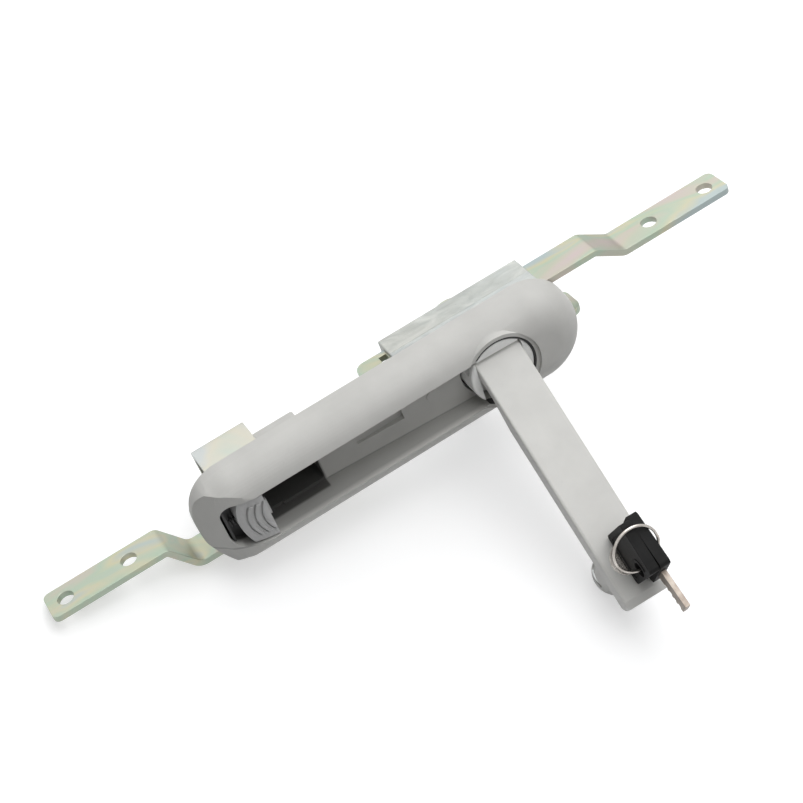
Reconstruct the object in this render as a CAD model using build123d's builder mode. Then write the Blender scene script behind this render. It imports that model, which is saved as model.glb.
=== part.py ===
"""Swing handle lock with rod control, for a cabinet door.

Frame: +X runs along the housing towards the rotor end, +Y goes through the door to the back, +Z is
across the housing. The origin is where the spindle's axis meets the door's outer face. The handle is
modelled open: turned square to the housing and lifted out of it.
"""

import os
from math import acos, cos, degrees, pi, radians, sin, sqrt

from build123d import *

os.makedirs("parts", exist_ok=True)

# Housing: flat back on the door, round shoulders, one round end and one falling end
housing_half_width = 19.5
housing_height = 16.5
lip_draft = 0.3
shoulder_radius = 13.0
rotor_to_round_end = 36.5
button_end_bulge = 1.8
button_end_corner = 10.0
button_end_fall = 34.0
land_radius = 15.0
land_foot_radius = 16.6
land_foot_height = 10.0

# Handle recess, well and button bay in the housing
recess_side_gap = 0.75
recess_floor_at_rotor = 8.3
recess_floor_at_well = 3.4
bay_floor = 2.6
bay_end_bulge = 0.8
bay_corner = 5.5
block_half_width = 10.8
block_depth = 13.9
block_wall = 2.0
block_edge = 1.0
keeper_depth = 4.2
floor_mark = (19.0, 6.0, 1.5)
floor_mark_at = 47.3
floor_pad_radius = 2.6
floor_pad_height = 0.4
floor_pad_at = 25.1
spare_hole_radius = 3.7
spare_hole_depth = 2.6
spare_ring_radius = 5.4
back_relief = 0.5
back_rib = 0.6
moulding_mark_radius = 2.9
moulding_mark_depth = 0.25

# Gasket in its groove
gasket_inset = 1.2
gasket_width = 2.4
gasket_thickness = 2.0
gasket_groove = 1.2

# Rotor, its seal and what turns with it
rest_turn = -2.1
rotor_radius = 12.7
rotor_head_back = 4.0
journal_radius = 8.0
running_gap = 0.06
bore_radius = 13.6
bore_floor = 3.2
seal_thickness = 0.8
seal_depth = 3.0
hinge_offset = 4.7
hinge_pin_radius = 2.0
hinge_pin_length = 21.4
barrel_radius = 4.0
slot_gap = 0.2
spindle_side = 8.0
spindle_front = 5.5
socket_gap = 0.05
spindle_pin_radius = 1.0

# Handle
rest_lift = 50.0
handle_length = 101.0
handle_half_width = 9.35
handle_top = 4.0
handle_plate = 3.0
handle_wall = 1.9
handle_depth = 6.6
channel_start = 27.0
root_plate = 3.5
root_plate_length = 14.0
tip_bevel = (3.0, 1.8)
tip_corner = 2.4
boss_to_tip = 14.6
boss_radius = 8.6
boss_reach = 22.85
plug_offset = 1.2
sleeve_radius = 6.0
plug_radius = 4.4
plug_length = 17.5
tongue_thickness = 2.2
tongue_reach = 8.5
tongue_half_width = 3.4
boss_end_wall = 2.6
handle_edge = 0.9
channel_mark_at = 49.3

# Push button
button_side_gap = 0.6
button_corner = 2.8
button_foot = 6.0
button_sink = 0.8
rib_height = 0.7
rib_foot = 10.9
rib_width = 0.9
rib_spacing = 2.6
rib_curve = 14.0
nose_length = 1.2
spring_coil_radius = 1.5
spring_wire = 0.5
spring_turns = 6

# Gear case
case_half_length = 30.0
case_half_width = 12.5
case_depth = 20.6
case_split = 10.7
case_edge = 0.6
case_screw_at = 23.7
case_screw_radius = 2.0
case_screw_depth = 5.0
counterbore_radius = 5.2
counterbore_depth = 5.0
pan_head_radius = 3.6
pan_head_height = 2.4
pocket_half = (16.1, 9.5)
pocket_depth = 1.8
pocket_rim = (0.9, 0.5)
hub_radius = 6.5
hub_ring_radius = 9.0
gear_front = 6.2
gear_back = 13.8
gear_room = 0.4

# Rods and pinion
rod_thickness = 2.5
rod_inner_face = 8.4
rod_front = 2.4
rod_back = 16.4
channel_gap = 0.1
rod_short_end = 43.0
rod_bend_radius = 1.0
rod_corner = 2.5
rod_short_corner = 4.0
left_jog_start = 36.0
left_jog_end = 46.0
left_run_centre = 18.95
left_joggle_start = 124.4
left_joggle_end = 133.0
left_far_centre = 6.2
left_end = 178.7
right_joggle_start = 54.2
right_joggle_end = 65.6
right_far_centre = 2.5
right_end = 113.1
rod_hole_radius = 3.1
rod_hole_edge = 7.1
rod_hole_spacing = 25.4
pitch_radius = 9.4
gear_teeth = 12
tooth_tip_radius = 10.6
tooth_root_radius = 7.9
tooth_root_half = 1.25
tooth_tip_half = 0.55
window_length = 3.1
window_height = 8.0
first_window = -1
last_window = 6

# Cam
cam_thickness = 3.4
cam_centres = 29.0
cam_big_radius = 9.4
cam_tip_radius = 5.9
cam_tilt = 4.0

# Clamp bracket
bracket_length = 21.3
bracket_half_width = 15.2
bracket_depth = 19.0
bracket_thickness = 2.0
bracket_bend = 2.5

# M5 hexagon screws with washers, on the cam and on the bracket
screw_radius = 2.45
screw_bore_radius = 2.5
hex_across_flats = 8.0
hex_height = 3.1
flat_washer_radius = 5.3
cam_washer_radius = 6.3
flat_washer_thickness = 0.9
spring_washer_radius = 4.6
spring_washer_thickness = 0.9
washer_bore = 2.7
cross_width = 1.1
cross_length = 4.6
cross_depth = 1.6

# Keys: rectangular plastic head, flat blade, hole for the ring
key_head_width = 19.6
key_head_length = 21.0
key_head_thickness = 4.0
key_head_rise = 0.8
key_head_corner = 1.6
key_blade_length = 14.6
key_blade_width = 5.6
key_blade_thickness = 2.0
key_hole_radius = 2.8
key_hole_wall = 0.9
ring_radius = 8.5
ring_wire = 0.5
ring_shift = -0.4
ring_slope = 40.0
ring_clearance = 1.2
spare_key_shift = 4.25
spare_key_end = 12.2
spare_key_rise = 0.2
spare_key_turn = 8.0

# Places that follow from the sizes
lip_height = housing_height - shoulder_radius
land_height = housing_height - 1.2
rotor_front = housing_height - 1.5
seal_front = housing_height - 1.4
hinge_height = housing_height - 5.6
hub_back = case_depth + 1.3
spindle_back = hub_back + 2.9
boss_along = handle_length - boss_to_tip
well_near = boss_along - 14.1
well_far = boss_along + 8.6
bay_end = well_far + 17.0
fall_start = well_far - 2.0
rotor_to_button_end = bay_end + 8.5
bracket_near = well_far - 7.7
bracket_far = bracket_near + bracket_length
bracket_screw_at = bracket_near + 11.8
block_near = well_near - 2.1
block_far = bracket_screw_at + 6.9
moulding_mark_at = block_near + 3.9
button_near = well_far + 1.8
button_far = well_far + 13.0
round_centre = rotor_to_round_end - housing_half_width
crown_half = housing_half_width - lip_draft - shoulder_radius
recess_half_width = handle_half_width + recess_side_gap
fall_centre_depth = button_end_fall - housing_height
rod_centre = rod_inner_face + rod_thickness / 2
window_pitch = 2 * pi * pitch_radius / gear_teeth
channel_floor = handle_top - handle_plate
wall_foot = handle_top - handle_depth
plug_along = boss_along - plug_offset
boss_end = handle_top - boss_reach


def door_plane(depth):
    """A plane parallel to the door, so far behind it. What is extruded from it grows forwards."""
    return Plane.XZ.offset(-depth)


def across_plane(along):
    """A plane square to X: its x is across the housing and its y points forwards."""
    return Plane(origin=(along, 0, 0), x_dir=(0, 0, 1), z_dir=(1, 0, 0))


def side_plane():
    """The plane of symmetry, with x along the housing and y through the door."""
    return Plane.XY


def direction_at(turn):
    """Unit vector across the door from the spindle, at this turn from straight down."""
    return Vector(sin(radians(turn)), 0, -cos(radians(turn)))


# The rotor's own axes: x towards the handle's tip, z forwards. The handle's are lifted from them.
rotor_axes = Plane(origin=(0, 0, 0), x_dir=direction_at(rest_turn), z_dir=(0, -1, 0))
hinge_point = rotor_axes.from_local_coords(Vector(-hinge_offset, 0, hinge_height))
front_way = Vector(0, -1, 0)
handle_way = direction_at(rest_turn) * cos(radians(rest_lift)) + front_way * sin(radians(rest_lift))
handle_out = front_way * cos(radians(rest_lift)) - direction_at(rest_turn) * sin(radians(rest_lift))
handle_axes = Plane(origin=hinge_point, x_dir=handle_way, z_dir=handle_out)
handle_side = handle_out.cross(handle_way)


def handle_point(along, across, out):
    """A point given in the handle's own axes."""
    return handle_axes.from_local_coords(Vector(along, across, out))


def handle_plan(out):
    """A plane parallel to the handle's top, so far above its hinge. Extrusions grow outwards."""
    return handle_axes.offset(out)


def handle_profile_plane(across=0.0):
    """A plane along the handle and square to its top: x runs to the tip and y outwards."""
    return Plane(origin=handle_point(0, across, 0), x_dir=handle_way, z_dir=-handle_side)


def save(piece, name):
    """Labels a finished piece and writes it."""
    piece.part.label = name
    export_step(piece.part, f"parts/{name}.step")


def washer(centre, outer, inner, front, back):
    """A flat ring parallel to the door."""
    with BuildPart() as ring:
        with BuildSketch(door_plane(back)):
            with Locations(centre):
                Circle(outer)
                Circle(inner, mode=Mode.SUBTRACT)
        extrude(amount=back - front)
    return ring


def split_washer(centre, front, back):
    """A spring washer: a flat ring with a narrow slanting gap."""
    with BuildPart() as ring:
        with BuildSketch(door_plane(back)):
            with Locations(centre):
                Circle(spring_washer_radius)
                Circle(washer_bore, mode=Mode.SUBTRACT)
        extrude(amount=back - front)
        with BuildSketch(door_plane(back)):
            with Locations((centre[0] + (spring_washer_radius + washer_bore) / 2, centre[1])):
                Rectangle(2 * spring_washer_radius - washer_bore, 0.5, rotation=30)
        extrude(amount=back - front, mode=Mode.SUBTRACT)
    return ring


def hex_screw(centre, seat, tip):
    """An M5 hexagon screw with a cross recess: head behind its seat, plain shank to its tip."""
    head_back = seat + hex_height
    with BuildPart() as screw:
        with BuildSketch(door_plane(head_back)):
            with Locations(centre):
                RegularPolygon(hex_across_flats / 2, 6, major_radius=False)
        extrude(amount=hex_height)
        chamfer(screw.faces().sort_by(Axis.Y)[-1].edges(), 0.45)
        with BuildSketch(door_plane(seat)):
            with Locations(centre):
                Circle(screw_radius)
        extrude(amount=seat - tip)
        with BuildSketch(door_plane(head_back)):
            with Locations(centre):
                Rectangle(cross_length, cross_width, rotation=20)
                Rectangle(cross_width, cross_length, rotation=20)
        extrude(amount=cross_depth, mode=Mode.SUBTRACT)
    return screw


def plan_outline(inset=0.0):
    """The housing's outline on the door: straight sides, one round end, one blunt end."""
    half = housing_half_width
    with BuildSketch(mode=Mode.PRIVATE) as plan:
        with BuildLine():
            Line((round_centre, half), (button_end_bulge - rotor_to_button_end, half))
            ThreePointArc(
                (button_end_bulge - rotor_to_button_end, half),
                (-rotor_to_button_end, 0),
                (button_end_bulge - rotor_to_button_end, -half),
            )
            Line((button_end_bulge - rotor_to_button_end, -half), (round_centre, -half))
            CenterArc((round_centre, 0), half, -90, 180)
        make_face()
        fillet(plan.vertices().group_by(Axis.X)[0], button_end_corner)
        if inset:
            offset(amount=-inset, mode=Mode.REPLACE)
    return plan.sketch


def bay_outline(inset=0.0):
    """The button bay's outline: straight sides that run into the recess, and rounded end corners."""
    length = bay_end + bay_end_bulge - well_far + 2 * bay_corner
    with BuildSketch(mode=Mode.PRIVATE) as plan:
        with Locations((-(bay_end + bay_end_bulge) + length / 2, 0)):
            RectangleRounded(length - 2 * inset, 2 * (recess_half_width - inset), bay_corner - inset)
    return plan.sketch


def shoulder_section():
    """Half of the housing's cross-section, drawn from its middle to one side."""
    side = housing_half_width - lip_draft
    with BuildSketch(mode=Mode.PRIVATE) as section:
        with BuildLine():
            Polyline((0, housing_height), (0, 0), (housing_half_width, 0), (side, lip_height))
            CenterArc((crown_half, lip_height), shoulder_radius, 0, 90)
            Line((crown_half, housing_height), (0, housing_height))
        make_face()
    return section.sketch


def fall_depth(along, radius):
    """How far behind the door line the falling arc stands, at this distance from the spindle."""
    return fall_centre_depth - sqrt(radius**2 - (along - fall_start) ** 2)


def under_fall(radius, near, far, foot):
    """Side profile between two distances from the spindle: foot below, falling arc on top."""
    middle = (near + far) / 2
    with BuildSketch(mode=Mode.PRIVATE) as profile:
        with BuildLine():
            Polyline(
                (-near, fall_depth(near, radius)),
                (-near, foot),
                (-far, foot),
                (-far, fall_depth(far, radius)),
            )
            ThreePointArc(
                (-far, fall_depth(far, radius)),
                (-middle, fall_depth(middle, radius)),
                (-near, fall_depth(near, radius)),
            )
        make_face()
    return profile.sketch


# ---------------------------------------------------------------- housing
with BuildPart() as housing:
    with BuildSketch(across_plane(round_centre)):
        add(shoulder_section())
        mirror(about=Plane.YZ)
    extrude(amount=-(round_centre + rotor_to_button_end))
    with BuildSketch(door_plane(0)):
        add(plan_outline())
    extrude(amount=housing_height, mode=Mode.INTERSECT)
    # the falling front at the button end
    with BuildSketch(side_plane()):
        add(under_fall(button_end_fall, fall_start, rotor_to_button_end + 1, 1))
        with Locations(((round_centre - fall_start) / 2, -housing_height / 2)):
            Rectangle(round_centre + fall_start, housing_height + 2)
    extrude(amount=housing_half_width, both=True, mode=Mode.INTERSECT)
    # the round end
    with BuildSketch(across_plane(round_centre)):
        add(shoulder_section())
    revolve(axis=Axis((round_centre, 0, 0), (0, 1, 0)), revolution_arc=180)
    # low conical land round the rotor, faced flat
    with BuildSketch(side_plane()):
        Polygon(
            (0, -land_foot_height),
            (land_foot_radius, -land_foot_height),
            (land_radius, -land_height),
            (0, -land_height),
            align=None,
        )
    revolve(axis=Axis.Y)
    with BuildSketch(door_plane(-land_height)):
        Circle(land_radius)
    extrude(amount=housing_height, mode=Mode.SUBTRACT)
    # block behind the door that holds the well and the bracket's screw
    with BuildSketch(door_plane(block_depth)):
        with Locations((-(block_near + block_far) / 2, 0)):
            RectangleRounded(block_far - block_near, 2 * block_half_width, block_edge)
    extrude(amount=block_depth + bay_floor)
    # handle recess, then the button bay
    with BuildSketch(side_plane()):
        Polygon(
            (0, -2 * housing_height),
            (0, -recess_floor_at_rotor),
            (-well_near, -recess_floor_at_well),
            (-well_far, -recess_floor_at_well),
            (-well_far, -2 * housing_height),
            align=None,
        )
    extrude(amount=recess_half_width, both=True, mode=Mode.SUBTRACT)
    with BuildSketch(door_plane(-bay_floor)):
        add(bay_outline())
        with Locations((-well_far + bay_corner, 0)):
            Rectangle(2 * bay_corner, 2 * recess_half_width)
        with Locations((-well_far + 2 * bay_corner, 0)):
            Rectangle(2 * bay_corner, 3 * recess_half_width, mode=Mode.SUBTRACT)
    extrude(amount=2 * housing_height, mode=Mode.SUBTRACT)
    # well for the lock boss
    with BuildSketch(door_plane(block_depth - block_wall)):
        with Locations((-(well_near + well_far) / 2, 0)):
            RectangleRounded(well_far - well_near, 2 * (block_half_width - block_wall), 1.5)
    extrude(amount=block_depth + housing_height, mode=Mode.SUBTRACT)
    # keeper slot for the lock tongue in the well's wall
    with BuildSketch(side_plane()):
        with Locations((-well_near + 0.4, keeper_depth)):
            Rectangle(1.4, tongue_thickness + 0.6)
    extrude(amount=block_half_width - block_wall - 1, both=True, mode=Mode.SUBTRACT)
    # rotor bore and journal bore
    with BuildSketch(door_plane(-bore_floor)):
        Circle(bore_radius)
    extrude(amount=2 * housing_height, mode=Mode.SUBTRACT)
    with BuildSketch(door_plane(0)):
        Circle(journal_radius + running_gap)
    extrude(amount=bore_floor, mode=Mode.SUBTRACT)
    # shallow mark in the recess floor
    floor_at_mark = recess_floor_at_rotor - (
        (recess_floor_at_rotor - recess_floor_at_well) * floor_mark_at / well_near
    )
    with BuildSketch(door_plane(floor_mark[2] - floor_at_mark)):
        with Locations((-floor_mark_at, 0)):
            Rectangle(floor_mark[0], floor_mark[1])
    extrude(amount=housing_height, mode=Mode.SUBTRACT)
    # low round pad in the recess floor, near the rotor
    floor_at_pad = recess_floor_at_rotor - (
        (recess_floor_at_rotor - recess_floor_at_well) * floor_pad_at / well_near
    )
    with BuildSketch(door_plane(1 - floor_at_pad)):
        with Locations((-floor_pad_at, 0)):
            Circle(floor_pad_radius)
    extrude(amount=1 + floor_pad_height)
    # gasket groove in the back
    with BuildSketch(door_plane(0)):
        add(plan_outline(gasket_inset))
        add(plan_outline(gasket_inset + gasket_width), mode=Mode.SUBTRACT)
    extrude(amount=gasket_groove, mode=Mode.SUBTRACT)
    # shallow relief in the back, with a rib left by the gasket and pads under what sits on it
    with BuildSketch(door_plane(0)):
        add(plan_outline(gasket_inset + gasket_width + back_rib))
        Rectangle(2 * case_half_length + 0.4, 2 * case_half_width + 0.4, mode=Mode.SUBTRACT)
        with Locations((-(block_near + block_far) / 2, 0)):
            Rectangle(block_far - block_near, 2 * block_half_width, mode=Mode.SUBTRACT)
        with Locations((-floor_mark_at, 0)):
            Circle(spare_ring_radius, mode=Mode.SUBTRACT)
    extrude(amount=back_relief, mode=Mode.SUBTRACT)
    # blind holes in the back
    with BuildSketch(door_plane(0)):
        with Locations((-floor_mark_at, 0)):
            Circle(spare_hole_radius)
    extrude(amount=spare_hole_depth, mode=Mode.SUBTRACT)
    with BuildSketch(door_plane(0)):
        with Locations((-case_screw_at, 0), (case_screw_at, 0)):
            Circle(case_screw_radius)
    extrude(amount=case_screw_depth, mode=Mode.SUBTRACT)
    with BuildSketch(door_plane(block_depth)):
        with Locations((-bracket_screw_at, 0)):
            Circle(screw_bore_radius)
    extrude(amount=block_depth - 1, mode=Mode.SUBTRACT)
    # round moulding marks on the block
    with BuildSketch(door_plane(block_depth)):
        with Locations((-moulding_mark_at, 6.9), (-moulding_mark_at, -6.9)):
            Circle(moulding_mark_radius)
    extrude(amount=moulding_mark_depth, mode=Mode.SUBTRACT)
save(housing, "housing")

# ---------------------------------------------------------------- gasket
with BuildPart() as gasket:
    with BuildSketch(door_plane(gasket_thickness - gasket_groove)):
        add(plan_outline(gasket_inset))
        add(plan_outline(gasket_inset + gasket_width), mode=Mode.SUBTRACT)
    extrude(amount=gasket_thickness)
save(gasket, "gasket")

# ---------------------------------------------------------------- rotor seal
with BuildPart() as rotor_seal:
    with BuildSketch(door_plane(seal_depth - seal_front)):
        Circle(bore_radius)
        Circle(bore_radius - seal_thickness, mode=Mode.SUBTRACT)
        with Locations((-bore_radius, 0)):
            Rectangle(2 * bore_radius, 2 * recess_half_width, mode=Mode.SUBTRACT)
    extrude(amount=seal_depth)
save(rotor_seal, "rotor_seal")

# ---------------------------------------------------------------- thrust washer
save(
    washer((0, 0), bore_radius - 0.5, journal_radius + 0.2, -rotor_head_back, -bore_floor),
    "thrust_washer",
)

# ---------------------------------------------------------------- rotor
slot_half_width = handle_half_width + slot_gap
slot_back = hinge_offset + barrel_radius + 0.35
slot_floor = hinge_height - barrel_radius - 0.3
with BuildPart() as rotor:
    with BuildSketch(door_plane(-rotor_head_back)):
        Circle(rotor_radius)
    extrude(amount=rotor_front - rotor_head_back)
    chamfer(rotor.faces().sort_by(Axis.Y)[0].edges(), 0.4)
    with BuildSketch(door_plane(-0.3)):
        Circle(journal_radius)
    extrude(amount=rotor_head_back - 0.3)
    # slot that the handle's root tilts in, open towards the tip
    with BuildSketch(rotor_axes.offset(slot_floor)):
        with Locations(((2 * rotor_radius - slot_back) / 2, 0)):
            Rectangle(2 * rotor_radius + slot_back, 2 * slot_half_width)
    extrude(amount=rotor_front, mode=Mode.SUBTRACT)
    # square socket for the spindle
    with BuildSketch(door_plane(0)):
        Rectangle(spindle_side + 2 * socket_gap, spindle_side + 2 * socket_gap)
    extrude(amount=spindle_front + 0.05, mode=Mode.SUBTRACT)
    # cross bores for the hinge pin and the spindle pin
    with BuildSketch(Plane(origin=hinge_point, x_dir=front_way, z_dir=handle_side)):
        Circle(hinge_pin_radius)
    extrude(amount=rotor_radius, both=True, mode=Mode.SUBTRACT)
    with BuildSketch(Plane.XY):
        with Locations((0, -(0.3 + rotor_head_back) / 2)):
            Circle(spindle_pin_radius)
    extrude(amount=rotor_radius, both=True, mode=Mode.SUBTRACT)
save(rotor, "rotor")

with BuildPart() as hinge_pin:
    with BuildSketch(Plane(origin=hinge_point, x_dir=front_way, z_dir=handle_side)):
        Circle(hinge_pin_radius)
    extrude(amount=hinge_pin_length / 2, both=True)
save(hinge_pin, "hinge_pin")

# ---------------------------------------------------------------- spindle and its pin
with BuildPart() as spindle:
    with BuildSketch(door_plane(spindle_back)):
        Rectangle(spindle_side, spindle_side)
    extrude(amount=spindle_back + spindle_front)
    chamfer(spindle.edges().filter_by(Axis.Y), 0.5)
    with BuildSketch(door_plane(spindle_back)):
        Circle(screw_bore_radius)
    extrude(amount=13, mode=Mode.SUBTRACT)
    with BuildSketch(Plane.XY):
        with Locations((0, -(0.3 + rotor_head_back) / 2)):
            Circle(spindle_pin_radius)
    extrude(amount=spindle_side, both=True, mode=Mode.SUBTRACT)
save(spindle, "spindle")

with BuildPart() as spindle_pin:
    with BuildSketch(Plane.XY):
        with Locations((0, -(0.3 + rotor_head_back) / 2)):
            Circle(spindle_pin_radius)
    extrude(amount=journal_radius - 0.3, both=True)
save(spindle_pin, "spindle_pin")

# ---------------------------------------------------------------- pinion
with BuildPart() as pinion:
    with BuildSketch(door_plane(gear_back)):
        Circle(tooth_root_radius)
        with PolarLocations(0, gear_teeth, start_angle=180 / gear_teeth):
            Polygon(
                (tooth_root_radius - 1, -tooth_root_half),
                (tooth_tip_radius, -tooth_tip_half),
                (tooth_tip_radius, tooth_tip_half),
                (tooth_root_radius - 1, tooth_root_half),
                align=None,
            )
    extrude(amount=gear_back - gear_front)
    with BuildSketch(door_plane(hub_back)):
        Circle(hub_radius)
    extrude(amount=hub_back - 0.3)
    with BuildSketch(door_plane(hub_back)):
        Rectangle(spindle_side + 2 * socket_gap, spindle_side + 2 * socket_gap)
    extrude(amount=hub_back, mode=Mode.SUBTRACT)
save(pinion, "pinion")

# ---------------------------------------------------------------- gear case
channel_front = rod_front - channel_gap
channel_back = rod_back + channel_gap
channel_centre = rod_centre


def case_block(front, back):
    """The gear case's outline between two depths, with rounded upright edges."""
    with BuildSketch(door_plane(back)) as outline:
        RectangleRounded(2 * case_half_length, 2 * case_half_width, case_edge)
    extrude(outline.sketch, amount=back - front)


def cut_rod_channels():
    """Two straight channels that the rods slide in, from end to end."""
    with BuildSketch(door_plane(channel_back)) as channels:
        with Locations((0, channel_centre), (0, -channel_centre)):
            Rectangle(2 * case_half_length + 2, rod_thickness + 2 * channel_gap)
    extrude(channels.sketch, amount=channel_back - channel_front, mode=Mode.SUBTRACT)


def cut_gear_room():
    """The round room for the pinion, and its hub's bore through the case."""
    with BuildSketch(door_plane(gear_back + gear_room)) as room:
        Circle(tooth_tip_radius + gear_room)
    extrude(room.sketch, amount=gear_back - gear_front + 2 * gear_room, mode=Mode.SUBTRACT)
    with BuildSketch(door_plane(case_depth)) as bore:
        Circle(hub_radius + running_gap)
    extrude(bore.sketch, amount=case_depth, mode=Mode.SUBTRACT)


def cut_case_screws():
    """Through holes for the two case screws."""
    with BuildSketch(door_plane(case_depth)) as holes:
        with Locations((-case_screw_at, 0), (case_screw_at, 0)):
            Circle(case_screw_radius + 0.1)
    extrude(holes.sketch, amount=case_depth, mode=Mode.SUBTRACT)


with BuildPart() as gear_case_base:
    case_block(0, case_split)
    cut_rod_channels()
    cut_gear_room()
    cut_case_screws()
    # relief over the gasket
    with BuildSketch(door_plane(gasket_thickness - gasket_groove + 0.2)):
        add(plan_outline(gasket_inset - 0.3))
        add(plan_outline(gasket_inset + gasket_width + 0.3), mode=Mode.SUBTRACT)
    extrude(amount=gasket_thickness, mode=Mode.SUBTRACT)
save(gear_case_base, "gear_case_base")

with BuildPart() as gear_case_cover:
    case_block(case_split, case_depth)
    chamfer(gear_case_cover.faces().sort_by(Axis.Y)[-1].edges(), 0.4)
    # thin rim, and inside it a pocket with the hub's ring left standing
    with BuildSketch(door_plane(case_depth + pocket_rim[1])):
        RectangleRounded(
            2 * (pocket_half[0] + pocket_rim[0]), 2 * (pocket_half[1] + pocket_rim[0]), 1.6
        )
        RectangleRounded(2 * pocket_half[0], 2 * pocket_half[1], 0.8, mode=Mode.SUBTRACT)
    extrude(amount=pocket_rim[1])
    with BuildSketch(door_plane(case_depth)):
        RectangleRounded(2 * pocket_half[0], 2 * pocket_half[1], 0.8)
        Circle(hub_ring_radius, mode=Mode.SUBTRACT)
    extrude(amount=pocket_depth, mode=Mode.SUBTRACT)
    cut_rod_channels()
    cut_gear_room()
    cut_case_screws()
    with BuildSketch(door_plane(case_depth)):
        with Locations((-case_screw_at, 0), (case_screw_at, 0)):
            Circle(counterbore_radius)
    extrude(amount=counterbore_depth, mode=Mode.SUBTRACT)
save(gear_case_cover, "gear_case_cover")

pan_seat = case_depth - counterbore_depth
with BuildPart() as gear_case_screws:
    with BuildSketch(door_plane(pan_seat + pan_head_height)):
        with Locations((-case_screw_at, 0), (case_screw_at, 0)):
            Circle(pan_head_radius)
    extrude(amount=pan_head_height)
    fillet(gear_case_screws.edges().group_by(Axis.Y)[-1], 1.2)
    with BuildSketch(door_plane(pan_seat)):
        with Locations((-case_screw_at, 0), (case_screw_at, 0)):
            Circle(case_screw_radius - 0.05)
    extrude(amount=pan_seat + case_screw_depth - 0.3)
    with BuildSketch(door_plane(pan_seat + pan_head_height)):
        with Locations((-case_screw_at, 0), (case_screw_at, 0)):
            Rectangle(cross_length, cross_width, rotation=25)
            Rectangle(cross_width, cross_length, rotation=25)
    extrude(amount=cross_depth, mode=Mode.SUBTRACT)
save(gear_case_screws, "gear_case_screws")


# ---------------------------------------------------------------- rods
def rod(path, end, side):
    """A bent strip on edge, with pinion windows inside the case and two holes at its far end.

    side is -1 for the rod that reaches to -X and +1 for the other.
    """
    with BuildPart() as strip:
        with BuildSketch(door_plane(rod_back)):
            with BuildLine():
                FilletPolyline(*path, radius=rod_bend_radius + rod_thickness)
                offset(amount=rod_thickness, side=Side.LEFT)
            make_face()
        extrude(amount=rod_back - rod_front)
        for place, radius in ((side, rod_corner), (-side, rod_short_corner)):
            ends = strip.edges().filter_by(Axis.Z).group_by(Axis.X)
            fillet(ends[-1] if place > 0 else ends[0], radius)
        middle = (rod_front + rod_back) / 2
        with BuildSketch(Plane.XY):
            with Locations(
                (end - side * rod_hole_edge, middle),
                (end - side * (rod_hole_edge + rod_hole_spacing), middle),
            ):
                Circle(rod_hole_radius)
        extrude(amount=housing_half_width * 1.5, both=True, mode=Mode.SUBTRACT)
        with BuildSketch(Plane.XY):
            for step in range(first_window, last_window + 1):
                along = -side * (step + 0.5) * window_pitch
                with Locations((along, (gear_front + gear_back) / 2)):
                    Rectangle(window_length, window_height)
        extrude(amount=side * housing_half_width, mode=Mode.SUBTRACT)
    return strip


def strip_side(centre):
    """The height of the strip's lower face, for a strip whose middle is at this height."""
    return centre - rod_thickness / 2


left_path = [
    (rod_short_end, strip_side(-rod_centre)),
    (-left_jog_start, strip_side(-rod_centre)),
    (-left_jog_end, strip_side(-left_run_centre)),
    (-left_joggle_start, strip_side(-left_run_centre)),
    (-left_joggle_end, strip_side(-left_far_centre)),
    (-left_end, strip_side(-left_far_centre)),
]
right_path = [
    (right_end, strip_side(right_far_centre)),
    (right_joggle_end, strip_side(right_far_centre)),
    (right_joggle_start, strip_side(rod_centre)),
    (-rod_short_end, strip_side(rod_centre)),
]
left_path = [(x, z + rod_thickness) for x, z in left_path]
right_path = [(x, z + rod_thickness) for x, z in right_path]
save(rod(left_path, -left_end, -1), "rod_left")
save(rod(right_path, right_end, 1), "rod_right")

# ---------------------------------------------------------------- cam and its screw
cam_front = hub_back
cam_back = hub_back + cam_thickness
cam_plane = Plane(
    origin=(0, cam_back, 0), x_dir=direction_at(-cam_tilt), z_dir=(0, -1, 0)
)
with BuildPart() as cam:
    with BuildSketch(cam_plane):
        lean = acos((cam_big_radius - cam_tip_radius) / cam_centres)
        big_touch = (cam_big_radius * cos(lean), cam_big_radius * sin(lean))
        tip_touch = (cam_centres + cam_tip_radius * cos(lean), cam_tip_radius * sin(lean))
        with BuildLine():
            Line(big_touch, tip_touch)
            CenterArc((cam_centres, 0), cam_tip_radius, degrees(lean), -2 * degrees(lean))
            Line((tip_touch[0], -tip_touch[1]), (big_touch[0], -big_touch[1]))
            CenterArc((0, 0), cam_big_radius, -degrees(lean), 2 * degrees(lean) - 360)
        make_face()
    extrude(amount=cam_thickness)
    chamfer(cam.faces().sort_by(Axis.Y)[-1].edges(), 0.4)
    with BuildSketch(door_plane(cam_back)):
        Rectangle(spindle_side + 2 * socket_gap, spindle_side + 2 * socket_gap)
    extrude(amount=cam_thickness, mode=Mode.SUBTRACT)
save(cam, "cam")

cam_washer_back = cam_back + flat_washer_thickness
cam_spring_back = cam_washer_back + spring_washer_thickness
save(washer((0, 0), cam_washer_radius, washer_bore, cam_back, cam_washer_back), "cam_flat_washer")
save(split_washer((0, 0), cam_washer_back, cam_spring_back), "cam_spring_washer")
save(hex_screw((0, 0), cam_spring_back, cam_spring_back - 12), "cam_screw")

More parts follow.
